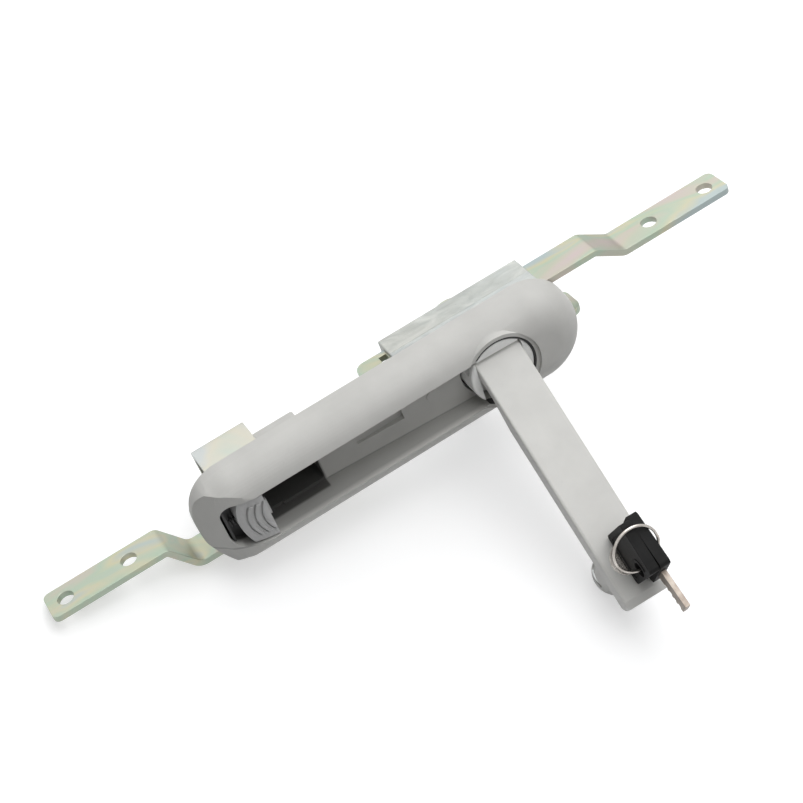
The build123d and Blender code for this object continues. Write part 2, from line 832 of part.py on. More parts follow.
# ---------------------------------------------------------------- clamp bracket and its screw
with BuildPart() as clamp_bracket:
    with BuildSketch(across_plane(-bracket_far)):
        half = bracket_half_width
        wall = bracket_thickness
        with BuildLine():
            FilletPolyline(
                (half, back_relief),
                (half, -bracket_depth),
                (-half, -bracket_depth),
                (-half, back_relief),
                radius=bracket_bend,
            )
            Line((-half, back_relief), (wall - half, back_relief))
            FilletPolyline(
                (wall - half, back_relief),
                (wall - half, wall - bracket_depth),
                (half - wall, wall - bracket_depth),
                (half - wall, back_relief),
                radius=bracket_bend - wall,
            )
            Line((half - wall, back_relief), (half, back_relief))
        make_face()
    extrude(amount=bracket_far - bracket_near)
    with BuildSketch(door_plane(bracket_depth)):
        with Locations((-bracket_screw_at, 0)):
            Circle(washer_bore)
    extrude(amount=bracket_thickness, mode=Mode.SUBTRACT)
save(clamp_bracket, "clamp_bracket")

bracket_washer_back = bracket_depth + flat_washer_thickness
bracket_spring_back = bracket_washer_back + spring_washer_thickness
bracket_screw_centre = (-bracket_screw_at, 0)
save(
    washer(bracket_screw_centre, flat_washer_radius, washer_bore, bracket_depth, bracket_washer_back),
    "bracket_flat_washer",
)
save(
    split_washer(bracket_screw_centre, bracket_washer_back, bracket_spring_back),
    "bracket_spring_washer",
)
save(hex_screw(bracket_screw_centre, bracket_spring_back, 3.0), "bracket_screw")

# ---------------------------------------------------------------- push button
button_half_width = recess_half_width - button_side_gap
top_radius = button_end_fall - button_sink
with BuildPart() as push_button:
    with BuildSketch(side_plane()):
        add(under_fall(top_radius, button_near, button_far, -button_foot))
    extrude(amount=button_half_width, both=True)
    fillet(push_button.edges().filter_by(Axis.Y).group_by(Axis.X)[-1], 1.2)
    fillet(push_button.edges().filter_by(Axis.Y).group_by(Axis.X)[0], button_corner)
    # nose that holds the handle's tip down
    with BuildSketch(side_plane()):
        with Locations((-button_near + nose_length / 2, -hinge_height + 0.3)):
            Rectangle(nose_length, 1.4)
    extrude(amount=3.5, both=True)
    # bore for the return spring
    with BuildSketch(Plane.YZ.offset(-button_far)):
        with Locations((-button_foot - 2.2, 0)):
            Circle(spring_coil_radius + spring_wire + 0.2)
    extrude(amount=5.5, mode=Mode.SUBTRACT)
with BuildPart() as ribs:
    with BuildSketch(side_plane()):
        add(under_fall(top_radius + rib_height, button_near + 1.6, button_far - 0.8, -rib_foot))
    extrude(amount=button_half_width - 1.6, both=True)
    with BuildSketch(door_plane(0)):
        for place in range(3):
            with Locations((-button_near - 3.6 - place * rib_spacing + rib_curve, 0)):
                Circle(rib_curve + rib_width / 2)
                Circle(rib_curve - rib_width / 2, mode=Mode.SUBTRACT)
    extrude(amount=housing_height + 1, mode=Mode.INTERSECT)
with BuildPart() as finished_button:
    add(push_button.part)
    add(ribs.part)
save(finished_button, "push_button")

with BuildPart() as button_base:
    with BuildSketch(door_plane(-bay_floor)):
        with Locations((-(well_far + bay_end) / 2 - 0.3, 0)):
            Rectangle(bay_end - well_far - 0.8, 2 * button_half_width)
    extrude(amount=button_foot - bay_floor)
    with BuildSketch(door_plane(-button_foot)):
        with Locations((-bay_end + 0.6, 0)):
            Rectangle(0.9, 2 * button_half_width)
    extrude(amount=3.2)
    with BuildSketch(door_plane(0)):
        add(bay_outline(0.4))
    extrude(amount=housing_height, mode=Mode.INTERSECT)
save(button_base, "button_base")

with BuildPart() as button_spring:
    spring_free = bay_end - 1.1 - (button_far - 5.2)
    with BuildLine() as coil:
        Helix(
            pitch=(spring_free - 2 * spring_wire) / spring_turns,
            height=spring_free - 2 * spring_wire,
            radius=spring_coil_radius,
            center=(-bay_end + 1.1 + spring_wire, -button_foot - 2.2, 0),
            direction=(1, 0, 0),
        )
    with BuildSketch(Plane(coil.line @ 0, z_dir=coil.line % 0)):
        Circle(spring_wire / 2)
    sweep()
save(button_spring, "button_spring")

# ---------------------------------------------------------------- handle
with BuildPart() as handle:
    with BuildSketch(handle_profile_plane()):
        Circle(barrel_radius)
        Polygon(
            (0, handle_top),
            (handle_length - tip_bevel[0], handle_top),
            (handle_length, handle_top - tip_bevel[1]),
            (handle_length, wall_foot),
            (channel_start - 1, wall_foot),
            (root_plate_length, handle_top - root_plate),
            (0, handle_top - root_plate),
            align=None,
        )
    extrude(amount=handle_half_width, both=True)
    # rounded long edges of the top
    with BuildSketch(
        Plane(origin=handle_point(-barrel_radius - 1, 0, 0), x_dir=handle_side, z_dir=handle_way)
    ):
        with Locations((0, handle_top - handle_length / 2)):
            RectangleRounded(2 * handle_half_width, handle_length, handle_edge)
    extrude(amount=handle_length + 2 * barrel_radius, mode=Mode.INTERSECT)
    # rounded corners of the tip
    with BuildSketch(handle_plan(0)):
        RectangleRounded(2 * handle_length, 2 * handle_half_width, tip_corner)
    extrude(amount=handle_length, both=True, mode=Mode.INTERSECT)
    # channel under the handle
    with BuildSketch(handle_plan(wall_foot)):
        with Locations(((channel_start + handle_length - handle_wall) / 2, 0)):
            RectangleRounded(
                handle_length - handle_wall - channel_start,
                2 * (handle_half_width - handle_wall),
                1.0,
            )
    extrude(amount=handle_depth - handle_plate, mode=Mode.SUBTRACT)
    # shallow mark in the channel's floor
    with BuildSketch(handle_plan(channel_floor)):
        with Locations((channel_mark_at, 0)):
            Rectangle(17.0, 7.4)
    extrude(amount=0.5, mode=Mode.SUBTRACT)
    # lock boss, cut flat on the side that faces the rotor
    with BuildSketch(handle_plan(boss_end)):
        with Locations((boss_along, 0)):
            Circle(boss_radius)
    extrude(amount=channel_floor - boss_end, taper=-1.0)
    # bore for the cylinder, and the rivet's hole in the end wall
    with BuildSketch(handle_plan(boss_end + boss_end_wall)):
        with Locations((plug_along, 0)):
            Circle(sleeve_radius)
    extrude(amount=boss_reach, mode=Mode.SUBTRACT)
    with BuildSketch(handle_plan(boss_end)):
        with Locations((plug_along, 0)):
            Circle(1.5)
    extrude(amount=boss_end_wall, mode=Mode.SUBTRACT)
    # window for the tongue, open towards the rotor and to one side
    with BuildSketch(handle_plan(boss_end + boss_end_wall)):
        with Locations((plug_along - 10, -2.4)):
            Rectangle(20, 13.6)
        with Locations((plug_along - 1.2, -10)):
            Rectangle(9.4, 20)
    extrude(amount=tongue_thickness + 0.4, mode=Mode.SUBTRACT)
    # slot in the tip that the button's nose enters
    with BuildSketch(handle_profile_plane()):
        with Locations((handle_length, -0.3)):
            Rectangle(2 * (nose_length + 0.3), 2.0)
    extrude(amount=4.0, both=True, mode=Mode.SUBTRACT)
    # bore for the hinge pin
    with BuildSketch(handle_profile_plane()):
        Circle(hinge_pin_radius + running_gap)
    extrude(amount=2 * handle_half_width, both=True, mode=Mode.SUBTRACT)
save(handle, "handle")

# ---------------------------------------------------------------- lock cylinder
tongue_front = boss_end + boss_end_wall + 0.2
sleeve_foot = tongue_front + tongue_thickness + 0.4
with BuildPart() as lock_sleeve:
    with BuildSketch(handle_plan(sleeve_foot)):
        with Locations((plug_along, 0)):
            Circle(sleeve_radius)
            Circle(plug_radius + running_gap, mode=Mode.SUBTRACT)
    extrude(amount=handle_top - sleeve_foot)
save(lock_sleeve, "lock_sleeve")

keyway_width = key_blade_width + 0.3
keyway_thickness = key_blade_thickness + 0.3
with BuildPart() as cylinder_plug:
    with BuildSketch(handle_plan(tongue_front + tongue_thickness)):
        with Locations((plug_along, 0)):
            Circle(plug_radius)
    extrude(amount=handle_top - tongue_front - tongue_thickness)
    with BuildSketch(handle_plan(tongue_front + 0.05)):
        with Locations((plug_along, 0)):
            Rectangle(5.0, 5.0)
    extrude(amount=tongue_thickness)
    with BuildSketch(handle_plan(handle_top)):
        with Locations((plug_along, 0)):
            Rectangle(keyway_width, keyway_thickness)
    extrude(amount=-(key_blade_length - key_head_rise + 0.5), mode=Mode.SUBTRACT)
save(cylinder_plug, "cylinder_plug")

with BuildPart() as lock_tongue:
    with BuildSketch(handle_plan(tongue_front)):
        with Locations((plug_along, 0)):
            Circle(4.6)
        with Locations((plug_along, -tongue_reach / 2)):
            Rectangle(2 * tongue_half_width, tongue_reach)
    extrude(amount=tongue_thickness)
    with BuildSketch(handle_plan(tongue_front)):
        with Locations((plug_along, 0)):
            Circle(tongue_reach)
    extrude(amount=tongue_thickness, mode=Mode.INTERSECT)
    with BuildSketch(handle_plan(tongue_front)):
        with Locations((plug_along, 0)):
            Rectangle(5.1, 5.1)
    extrude(amount=tongue_thickness, mode=Mode.SUBTRACT)
save(lock_tongue, "lock_tongue")

with BuildPart() as boss_rivet:
    with BuildSketch(handle_plan(boss_end)):
        with Locations((plug_along, 0)):
            Circle(2.4)
    extrude(amount=-0.5)
    with BuildSketch(handle_plan(boss_end)):
        with Locations((plug_along, 0)):
            Circle(1.45)
    extrude(amount=boss_end_wall)
save(boss_rivet, "boss_rivet")


# ---------------------------------------------------------------- keys and ring
def key_plane(across):
    """A plane square to the hinge axis: x runs to the handle's tip from the lock, y outwards."""
    return Plane(
        origin=handle_point(plug_along, across, 0), x_dir=handle_way, z_dir=-handle_side
    )


def half_chord(across):
    """Half the distance between the two places where the ring crosses a plane of the keys."""
    return sqrt(ring_radius**2 - (across - ring_shift) ** 2)


def key_head(across, centre, size, hole, turn=0.0):
    """Flat head with rounded corners, a field sunk on both faces, and a hole for the ring."""
    with BuildPart() as head:
        with BuildSketch(key_plane(across)):
            with Locations(centre):
                RectangleRounded(size[0], size[1], key_head_corner, rotation=turn)
        extrude(amount=key_head_thickness / 2, both=True)
        for face in (-1, 1):
            with BuildSketch(key_plane(across).offset(face * key_head_thickness / 2)):
                with Locations(centre):
                    RectangleRounded(size[0] - 4, size[1] - 4, key_head_corner, rotation=turn)
                with Locations(hole):
                    Circle(key_hole_radius + 1.2, mode=Mode.SUBTRACT)
            extrude(amount=-face * 0.35, mode=Mode.SUBTRACT)
        with BuildSketch(key_plane(across)):
            with Locations(hole):
                Circle(key_hole_radius)
        extrude(amount=key_head_thickness, both=True, mode=Mode.SUBTRACT)
    return head


def key_blade(across, root, turn):
    """Flat blade with a few cuts along one edge. It leaves its root along x, turned."""
    with BuildPart() as blade:
        with BuildSketch(key_plane(across)):
            with Locations(Location(root, turn)):
                with Locations((key_blade_length / 2, 0)):
                    Rectangle(key_blade_length, key_blade_width)
                for cut in range(4):
                    with Locations((4.4 + 2.6 * cut, -key_blade_width / 2)):
                        Circle(0.8 + 0.15 * (cut % 2), mode=Mode.SUBTRACT)
        extrude(amount=key_blade_thickness / 2, both=True)
    return blade


# The ring goes through the inserted key's hole and over the top of its head.
key_foot = handle_top + key_head_rise
key_hole_along = key_head_width / 2 - key_hole_radius - key_hole_wall
fall = sin(radians(ring_slope))
run = cos(radians(ring_slope))
main_reach = (half_chord(0) + half_chord(key_head_thickness / 2)) / 2
ring_centre = (
    key_hole_along - main_reach * run,
    key_foot + key_head_length + ring_wire + ring_clearance - main_reach * fall,
)
main_hole = (key_hole_along, ring_centre[1] - main_reach * fall)
save(
    key_head(
        0,
        (0, key_foot + key_head_length / 2),
        (key_head_width, key_head_length),
        main_hole,
    ),
    "key_head",
)
save(key_blade(0, (0, key_foot), -90), "key_blade")

ring_origin = handle_point(plug_along + ring_centre[0], ring_shift, ring_centre[1])
ring_way = (handle_way * run - handle_out * fall).normalized()
with BuildPart() as key_ring:
    with BuildSketch(Plane(origin=ring_origin, x_dir=ring_way, z_dir=handle_side)):
        with Locations((ring_radius, 0)):
            Circle(ring_wire)
    revolve(axis=Axis(ring_origin, ring_way.cross(handle_side)))
save(key_ring, "key_ring")

# The spare key hangs on the ring beside the inserted one, its blade towards the handle's tip.
spare_reach = (
    half_chord(spare_key_shift - key_head_thickness / 2)
    + half_chord(spare_key_shift + key_head_thickness / 2)
) / 2
spare_hole = (ring_centre[0] + spare_reach * run, ring_centre[1] - spare_reach * fall)
turned = (cos(radians(spare_key_turn)), sin(radians(spare_key_turn)))
spare_half = (
    (key_head_length * turned[0] + key_head_width * turned[1]) / 2,
    (key_head_length * turned[1] + key_head_width * turned[0]) / 2,
)
spare_centre = (spare_key_end - spare_half[0], handle_top + spare_key_rise + spare_half[1])
save(
    key_head(
        spare_key_shift,
        spare_centre,
        (key_head_length, key_head_width),
        spare_hole,
        spare_key_turn,
    ),
    "spare_key_head",
)
spare_root = (
    spare_centre[0] + key_head_length / 2 * turned[0],
    spare_centre[1] + key_head_length / 2 * turned[1],
)
save(key_blade(spare_key_shift, spare_root, spare_key_turn), "spare_key_blade")
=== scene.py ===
from math import pi, radians

import bpy
from mathutils import Matrix, Vector


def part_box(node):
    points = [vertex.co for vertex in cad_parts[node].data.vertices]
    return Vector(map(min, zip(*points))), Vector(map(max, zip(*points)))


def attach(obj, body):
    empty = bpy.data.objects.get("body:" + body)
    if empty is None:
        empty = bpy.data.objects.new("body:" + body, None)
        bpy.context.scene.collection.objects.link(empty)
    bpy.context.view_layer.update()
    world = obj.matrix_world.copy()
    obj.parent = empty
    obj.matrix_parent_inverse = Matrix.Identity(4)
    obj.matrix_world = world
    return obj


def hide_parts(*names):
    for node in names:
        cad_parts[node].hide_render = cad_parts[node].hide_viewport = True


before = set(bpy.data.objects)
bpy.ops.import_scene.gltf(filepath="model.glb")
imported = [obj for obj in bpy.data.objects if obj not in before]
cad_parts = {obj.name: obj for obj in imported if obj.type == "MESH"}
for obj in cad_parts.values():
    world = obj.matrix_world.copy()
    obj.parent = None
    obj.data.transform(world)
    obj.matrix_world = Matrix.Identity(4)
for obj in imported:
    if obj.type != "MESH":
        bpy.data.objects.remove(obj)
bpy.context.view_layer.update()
MM = 0.001

# ---------------------------------------------------------------------------
# Camera, table and lamps. The lock lies tilted on a white table, lowest at its left rod
# and its handle's tip, so the table isn't square to the door plane. One large soft lamp
# hangs over it, and two weaker ones fill from the front and from the far left.
# ---------------------------------------------------------------------------
bpy.context.scene.view_settings.view_transform = "Standard"

# The camera's place, the way it looks, and the way that is level in its view.
camera_place = Vector((-0.1500, -0.4850, 0.4112))
sight = Vector((0.1777, 0.7503, -0.6368)).normalized()
level = Vector((0.8404, -0.4524, -0.2986))
level = (level - sight * level.dot(sight)).normalized()
upward = level.cross(sight)
camera_data = bpy.data.cameras.new("Studio camera")
camera_data.sensor_width = 36
camera_data.lens = 81.0
camera = bpy.data.objects.new("Studio camera", camera_data)
bpy.context.scene.collection.objects.link(camera)
camera_turn = Matrix((level, upward, -sight)).transposed().to_4x4()
camera.matrix_world = Matrix.Translation(camera_place) @ camera_turn
bpy.context.scene.camera = camera

table_way = Vector((0.19, -0.295, 0.936)).normalized()
table_gap = 0.3 * MM
lowest = min(
    vertex.co.dot(table_way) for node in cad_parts.values() for vertex in node.data.vertices
)
bpy.ops.mesh.primitive_plane_add(size=6, location=table_way * (lowest - table_gap))
floor = bpy.context.object
floor.name = "Table"
floor.rotation_mode = "QUATERNION"
floor.rotation_quaternion = table_way.to_track_quat("Z", "Y")


class Wire:
    """A socket in a material's nodes. Sums and products of wires add their Math nodes."""

    def __init__(self, tree, socket=None):
        self.tree = tree
        self.socket = socket

    def add(self, kind, settings=None, inputs=None, out=0):
        """A node of this type, set up, with its sockets given values or linked."""
        node = self.tree.nodes.new(kind)
        for name, value in (settings or {}).items():
            if name == "stops":
                ramp = node.color_ramp.elements
                while len(ramp) < len(value):
                    ramp.new(0.5)
                for stop, (place, tint) in zip(ramp, value):
                    stop.position = place
                    stop.color = (*tint, 1) if len(tint) == 3 else tint
            else:
                setattr(node, name, value)
        for name, value in (inputs or {}).items():
            if isinstance(value, Wire):
                self.tree.links.new(value.socket, node.inputs[name])
            else:
                node.inputs[name].default_value = value
        return Wire(self.tree, node.outputs[out] if len(node.outputs) else None)

    def math(self, operation, *values, clamp=False):
        return self.add(
            "ShaderNodeMath",
            {"operation": operation, "use_clamp": clamp},
            dict(enumerate(values)),
        )

    def __add__(self, other):
        return self.math("ADD", self, other)

    __radd__ = __add__

    def __sub__(self, other):
        return self.math("SUBTRACT", self, other)

    def __rsub__(self, other):
        return self.math("SUBTRACT", other, self)

    def __mul__(self, other):
        return self.math("MULTIPLY", self, other)

    __rmul__ = __mul__

    def larger(self, other):
        return self.math("MAXIMUM", self, other)

    def unsigned(self):
        return self.math("ABSOLUTE", self)

    def clamped(self, low=0.0, high=1.0):
        """This value spread from its low to its high end over 0 to 1, and kept there."""
        return self.math("MULTIPLY", self - low, 1 / (high - low), clamp=True)

    def blend(self, first, second):
        """Two colours mixed by this value."""
        return self.add(
            "ShaderNodeMix",
            {"data_type": "RGBA", "clamp_result": True},
            {"Factor": self, 6: first, 7: second},
            out=2,
        )

    def place(self, stretch=(1, 1, 1), turn=(0, 0, 0)):
        """The piece's own coordinates, stretched for a pattern with a direction."""
        own = self.add("ShaderNodeTexCoord", out="Object")
        if stretch == (1, 1, 1) and turn == (0, 0, 0):
            return own
        return self.add("ShaderNodeMapping", {}, {"Vector": own, "Scale": stretch, "Rotation": turn})

    def along(self, axis):
        """How far along X, Y or Z the surface lies, in millimetres."""
        own = self.add("ShaderNodeTexCoord", out="Object")
        metres = self.add("ShaderNodeSeparateXYZ", {}, {"Vector": own}, out=axis)
        return metres * 1000.0

    def noise(self, size, detail=3.0, rough=0.55, stretch=(1, 1, 1), distort=0.0, turn=(0, 0, 0)):
        """Cloudy noise whose clouds are about this many millimetres across."""
        return self.add(
            "ShaderNodeTexNoise",
            {},
            {
                "Vector": self.place(stretch, turn),
                "Scale": 1000.0 / size,
                "Detail": detail,
                "Roughness": rough,
                "Distortion": distort,
            },
        )

    def bump(self, height, depth, over=None):
        """Surface relief of this depth in millimetres, over another relief if given."""
        sockets = {"Height": height, "Distance": depth * MM}
        if over is not None:
            sockets["Normal"] = over
        return self.add("ShaderNodeBump", {}, sockets)


def new_material(name):
    """A material with an empty tree, and a wire to build it from."""
    made = bpy.data.materials.new(name)
    made.use_nodes = True
    made.node_tree.nodes.clear()
    return made, Wire(made.node_tree)


def close_material(start, sockets):
    """The surface shader with these sockets, joined to the output."""
    shader = start.add("ShaderNodeBsdfPrincipled", {}, sockets)
    start.add("ShaderNodeOutputMaterial", {}, {"Surface": shader})


# The table glows for the camera and for mirrors alone, and isn't there from below.
table_finish, start = new_material("Table white")
paper = start.add("ShaderNodeBsdfDiffuse", {}, {"Color": (0.60, 0.60, 0.605, 1)})
glow = start.add("ShaderNodeEmission", {}, {"Color": (1, 1, 1, 1), "Strength": 0.52})
lifted = start.add("ShaderNodeAddShader", {}, {0: paper, 1: glow})
seen = start.add("ShaderNodeLightPath", out="Is Camera Ray")
seen = seen.larger(start.add("ShaderNodeLightPath", out="Is Glossy Ray"))
top_side = start.add("ShaderNodeMixShader", {}, {0: seen, 1: paper, 2: lifted})
under = start.add("ShaderNodeNewGeometry", out="Backfacing")
nothing = start.add("ShaderNodeBsdfTransparent")
both = start.add("ShaderNodeMixShader", {}, {0: under, 1: top_side, 2: nothing})
start.add("ShaderNodeOutputMaterial", {}, {"Surface": both})
floor.data.materials.append(table_finish)

# The room is white for the camera. Mirrors see it white above and dimmer low down, and
# as light on the lock it is weak, so that the lamps do most of the work.
low_room = 0.45
world = bpy.data.worlds.new("Studio")
bpy.context.scene.world = world
world.use_nodes = True
world.node_tree.nodes.clear()
sky = Wire(world.node_tree)
by_camera = sky.add("ShaderNodeLightPath", out="Is Camera Ray")
by_mirror = sky.add("ShaderNodeLightPath", out="Is Glossy Ray")
by_glass = sky.add("ShaderNodeLightPath", out="Is Transmission Ray")
looked_at = by_camera.larger(by_mirror.larger(by_glass))
way = sky.add("ShaderNodeTexCoord", out="Generated")
height = sky.add("ShaderNodeVectorMath", {"operation": "DOT_PRODUCT"}, {0: way, 1: table_way}, out=1)
room = by_camera.larger(height.clamped(-0.75, 0.6))
soft = sky.add("ShaderNodeBackground", {}, {"Color": (0.96, 0.98, 1.0, 1), "Strength": 0.15})
strength = low_room + room * (1 - low_room)
white = sky.add("ShaderNodeBackground", {}, {"Color": (1, 1, 1, 1), "Strength": strength})
whole = sky.add("ShaderNodeMixShader", {}, {0: looked_at, 1: soft, 2: white})
sky.add("ShaderNodeOutputWorld", {}, {"Surface": whole})


def soft_lamp(name, place, aim, width, height, power):
    """A rectangular soft lamp at one point, turned towards another."""
    data = bpy.data.lights.new(name, "AREA")
    data.shape = "RECTANGLE"
    data.size, data.size_y, data.energy = width, height, power
    lamp = bpy.data.objects.new(name, data)
    bpy.context.scene.collection.objects.link(lamp)
    lamp.location = place
    lamp.rotation_mode = "QUATERNION"
    lamp.rotation_quaternion = (Vector(aim) - Vector(place)).to_track_quat("-Z", "Y")


middle = Vector((-0.02, -0.02, -0.02))
behind = (sight - table_way * sight.dot(table_way)).normalized()
overhead = middle + table_way * 0.9 + behind * 0.42
far_left = middle + Vector((-0.5, 0.75, 0)) + table_way * 0.42
near_camera = middle - sight * 1.0 + upward * 0.45 + level * 0.3
soft_lamp("Overhead lamp", overhead, middle, width=1.3, height=1.0, power=9.8)
soft_lamp("Back lamp", far_left, middle, width=1.0, height=1.0, power=1.7)
soft_lamp("Front lamp", near_camera, middle, width=0.9, height=0.9, power=4.8)


# ---------------------------------------------------------------------------
# Housing: die-cast zinc, trimmed, tumbled and powder painted a satin warm grey, with
# slightly broken edges and a very fine orange peel. The handle and the rotor carry the same
# paint, made lighter as painted light: the handle a little, the rotor much, for its shaded face.
# ---------------------------------------------------------------------------
def toned(tint, share):
    """A colour made this much lighter or darker, with its alpha."""
    return tuple(min(1.0, part * share) for part in tint) + (1,)


def satin_paint(name, tint, peel=0.010, shade=None):
    """Warm grey satin paint: faint clouds, orange peel, a few fine specks, painted shade if given."""
    made, start = new_material(name)
    clouds = start.noise(14.0, 3.0)
    grain = start.noise(0.55, 2.0, 0.6)
    specks = start.noise(0.9, 2.0, 0.7).clamped(0.69, 0.77)
    colour = clouds.clamped(0.3, 0.7).blend(toned(tint, 0.95), toned(tint, 1.04))
    colour = (specks * 0.3).blend(colour, toned(tint, 0.75))
    # Painted shade: where the mask says, the paint is darkened towards a sixth of its tint.
    if shade:
        colour = shade(start).blend(colour, toned(tint, 0.16))
    relief = start.bump(grain, peel)
    relief = start.bump(start.noise(3.5, 2.0), 0.02, over=relief)
    close_material(
        start,
        {
            "Base Color": colour,
            "Roughness": 0.40 + grain * 0.12 + clouds * 0.06,
            "Metallic": 0.0,
            "Specular IOR Level": 0.35,
            "Normal": relief,
        },
    )
    return made


# Painted shade darkens the paint deep in the recess. These say where, each as the two ends
# of a soft border in millimetres: along the housing (X), into it (Y) or across it (Z).
recess_walls = (10.25, 10.6)
lower_wall = (-9.9, -9.4)
lip = (-15.2, -13.0)
well_mouth = (-9.5, -7.0)
back_face = (-1.6, -1.2)
hollow_walls = (9.0, 9.4)
hollow_top = (-2.0, -1.6)
hollow_bottom = (12.4, 13.2)
hollow_end = (-96.5, -95.8)
bay_end = (-112.4, -112.1)
well_end = (-72.6, -71.6)
wall_share = 0.45


def painted_recess_shade(start):
    """Where painted shade darkens the paint: somewhat on the recess's lower wall, most in the well."""
    length, depth, side = start.along("X"), start.along("Y"), start.along("Z")
    between_walls = 1 - side.unsigned().clamped(*recess_walls)
    wall = between_walls * depth.clamped(*lip) * (1 - side.clamped(*lower_wall))
    mouth = between_walls * depth.clamped(*well_mouth) * (1 - depth.clamped(*back_face))
    hollow = 1 - side.unsigned().clamped(*hollow_walls)
    hollow = hollow * depth.clamped(*hollow_top) * (1 - depth.clamped(*hollow_bottom))
    hollow = hollow * length.clamped(*hollow_end)
    well = mouth.larger(hollow) * length.clamped(*bay_end) * (1 - length.clamped(*well_end))
    return well.larger(wall * wall_share)


def pick(piece):
    """Leaves this object alone selected, and active."""
    bpy.ops.object.select_all(action="DESELECT")
    bpy.context.view_layer.objects.active = piece
    piece.select_set(True)


def broken_edges(piece, width, sharp=28.0, segments=2):
    """Small rounds along the piece's sharp edges, and smooth shading between them."""
    pick(piece)
    if width:
        bevel = piece.modifiers.new("Broken edges", "BEVEL")
        bevel.width = width * MM
        bevel.segments = segments
        bevel.limit_method = "ANGLE"
        bevel.angle_limit = radians(sharp)
        bpy.ops.object.modifier_apply(modifier=bevel.name)
    bpy.ops.object.shade_smooth_by_angle(angle=radians(sharp))


def worked_copy(node, body, finish, edge=0.25, sharp=34.0, segments=2, shaped=None):
    """A node's form with its facets joined and its edges broken, standing for the node."""
    piece = bpy.data.objects.new(node + "_piece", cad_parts[node].data.copy())
    bpy.context.scene.collection.objects.link(piece)
    piece.data.materials.clear()
    pick(piece)
    bpy.ops.object.mode_set(mode="EDIT")
    bpy.ops.mesh.select_all(action="SELECT")
    bpy.ops.mesh.remove_doubles(threshold=0.002 * MM)
    bpy.ops.mesh.dissolve_limited(angle_limit=radians(0.6), use_dissolve_boundaries=False)
    bpy.ops.object.mode_set(mode="OBJECT")
    if shaped:
        shaped(piece)
    broken_edges(piece, edge, sharp, segments)
    even = piece.modifiers.new("Even shading", "WEIGHTED_NORMAL")
    even.keep_sharp = True
    bpy.ops.object.modifier_apply(modifier=even.name)
    piece.data.materials.append(finish)
    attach(piece, body)
    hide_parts(node)


warm_grey = (0.520, 0.516, 0.495)
# The housing's paint carries painted shade in the recess, where shade falls.
housing_paint_with_painted_shade = satin_paint("Satin grey paint on the housing", warm_grey, shade=painted_recess_shade)

# The button end: where the housing ends, how far its end bulges, half its width, and the
# radius of its two corners as cut and as drawn in.
housing_end = -120.5
end_bulge = 1.0
half_width = 19.5
cut_corner = 10.0
drawn_corner = 14.8
cuts_along = (-103.0, -105.4, -107.8, -110.2, -112.6, -115.0, -117.2)
cuts_across = (-15.5, -12.5, -9.9, -7.3, -4.7, 0, 4.7, 7.3, 9.9, 12.5, 15.5)


def rounder_end(piece):
    """Draws the two corners of the button end in to a rounder nose, groove and all."""
    bpy.ops.object.mode_set(mode="EDIT")
    for along in cuts_along:
        bpy.ops.mesh.select_all(action="SELECT")
        bpy.ops.mesh.bisect(plane_co=(along * MM, 0, 0), plane_no=(1, 0, 0))
    bpy.ops.mesh.select_mode(type="FACE")
    for across in cuts_across:
        bpy.ops.object.mode_set(mode="OBJECT")
        for face in piece.data.polygons:
            face.select = face.center.x < cuts_along[0] * MM
        bpy.ops.object.mode_set(mode="EDIT")
        bpy.ops.mesh.bisect(plane_co=(0, 0, across * MM), plane_no=(0, 0, 1))
    bpy.ops.object.mode_set(mode="OBJECT")

    # Each point is drawn towards the new corner's centre: not at all within the first 0.62
    # of the way to the cut outline, and in full, by as much as that outline, from 0.82 on.
    unmoved, growing = 0.62, 0.2
    centre_x = housing_end + end_bulge + drawn_corner
    centre_z = half_width - drawn_corner
    offset = drawn_corner - cut_corner
    for corner in piece.data.vertices:
        place = corner.co / MM
        across = abs(place.z) - centre_z
        along = centre_x - place.x
        if across <= 0 or along <= 0:
            continue
        far = Vector((along, across))
        way = far.normalized()
        step = offset * (way.x + way.y)
        outline = step + (step * step - 2 * offset * offset + cut_corner * cut_corner) ** 0.5
        if min(way) / max(way) < offset / drawn_corner:
            outline = drawn_corner / max(way)
        share = min(1.0, max(0.0, (far.length / outline - unmoved) / growing))
        pull = 1 - share * share * (3 - 2 * share) * (1 - drawn_corner / outline)
        corner.co.x = (centre_x - along * pull) * MM
        corner.co.z = (centre_z + across * pull) * MM * (1 if place.z > 0 else -1)
    piece.data.update()


worked_copy(
    "housing", "housing_body", housing_paint_with_painted_shade, edge=0.3, sharp=36, shaped=rounder_end
)

# ---------------------------------------------------------------------------
# Gasket and rotor seal: moulded black rubber. The gasket is pressed into the
# groove round the housing's back; the seal is a thin ring round the rotor.
# ---------------------------------------------------------------------------
rubber, start = new_material("Black rubber")
bloom = start.noise(4.0, 3.0)
close_material(
    start,
    {
        "Base Color": bloom.clamped(0.35, 0.7).blend((0.012, 0.012, 0.012, 1), (0.03, 0.03, 0.03, 1)),
        "Roughness": 0.62 + bloom * 0.2,
        "Normal": start.bump(start.noise(0.3, 2.0), 0.01),
    },
)
worked_copy("gasket", "housing_body", rubber, edge=0.35, shaped=rounder_end)
worked_copy("rotor_seal", "housing_body", rubber, edge=0.1)

# ---------------------------------------------------------------------------
# Rotor, hinge pin and thrust washer: the drum is cast and painted like the
# housing, the pin is ground steel pressed through it, and the washer under the
# drum is black acetal.
# ---------------------------------------------------------------------------
# Painted light: the rotor's tint is much lighter than the housing's, for the light its shaded face
# lacks.
rotor_paint_with_painted_light = satin_paint("Satin grey paint on the rotor", (0.80, 0.80, 0.78))
worked_copy("rotor", "rotor_body", rotor_paint_with_painted_light, edge=0.25)

